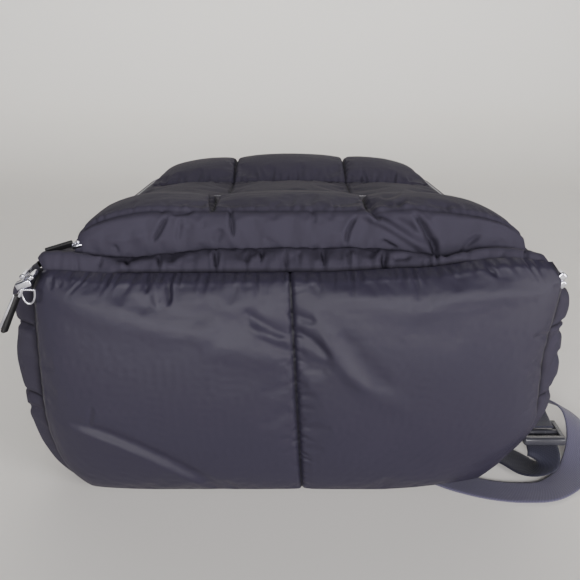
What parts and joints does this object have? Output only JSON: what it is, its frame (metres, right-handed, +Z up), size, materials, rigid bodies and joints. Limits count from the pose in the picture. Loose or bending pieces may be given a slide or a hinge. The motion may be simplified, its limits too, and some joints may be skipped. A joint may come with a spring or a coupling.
{
  "type": "quilted puffer backpack",
  "caption": "Soft quilted puffer backpack lying on its back, with a puffed front pocket, a zip round the front panel and padded shoulder straps.",
  "frame": {"origin": "on the surface that the bag lies on, in the middle of the flat stretch of the back panel next to the base", "axes": "+Z up from the surface, +Y along the bag from its base to its top, +X across it, to the right when looking at the base"},
  "size_m": [0.3672, 0.4628, 0.173],
  "materials": {
    "nylon": "satin slate-grey nylon",
    "back_cloth": "matt dark grey cloth",
    "zip_tape": "matt woven tape",
    "zip_metal": "bright nickel-plated metal",
    "pull_rubber": "smooth black rubber",
    "webbing": "ribbed woven webbing",
    "buckle_plastic": "glossy moulded plastic"
  },
  "bodies": {
    "root": {"front_panel": "nylon", "side_band": "nylon", "base_panel": "nylon", "back_panel": "back_cloth", "main_zip_tape": "zip_tape", "main_zip_chain": "zip_metal", "pocket": "nylon", "pocket_zip_tape": "zip_tape", "pocket_zip_chain": "zip_metal", "main_slider": "zip_metal", "main_pull_ring": "zip_metal", "main_pull_tab": "pull_rubber", "main_zip_stop": "zip_metal", "pocket_slider": "zip_metal", "pocket_pull_tab": "pull_rubber", "strap_right": "nylon", "strap_left": "nylon", "webbing_loop_right": "webbing", "webbing_tail_right": "webbing", "webbing_anchor_right": "webbing", "webbing_left": "webbing", "grab_handle": "webbing", "buckle_right": "buckle_plastic", "buckle_left": "buckle_plastic"}
  },
  "joints": []
}
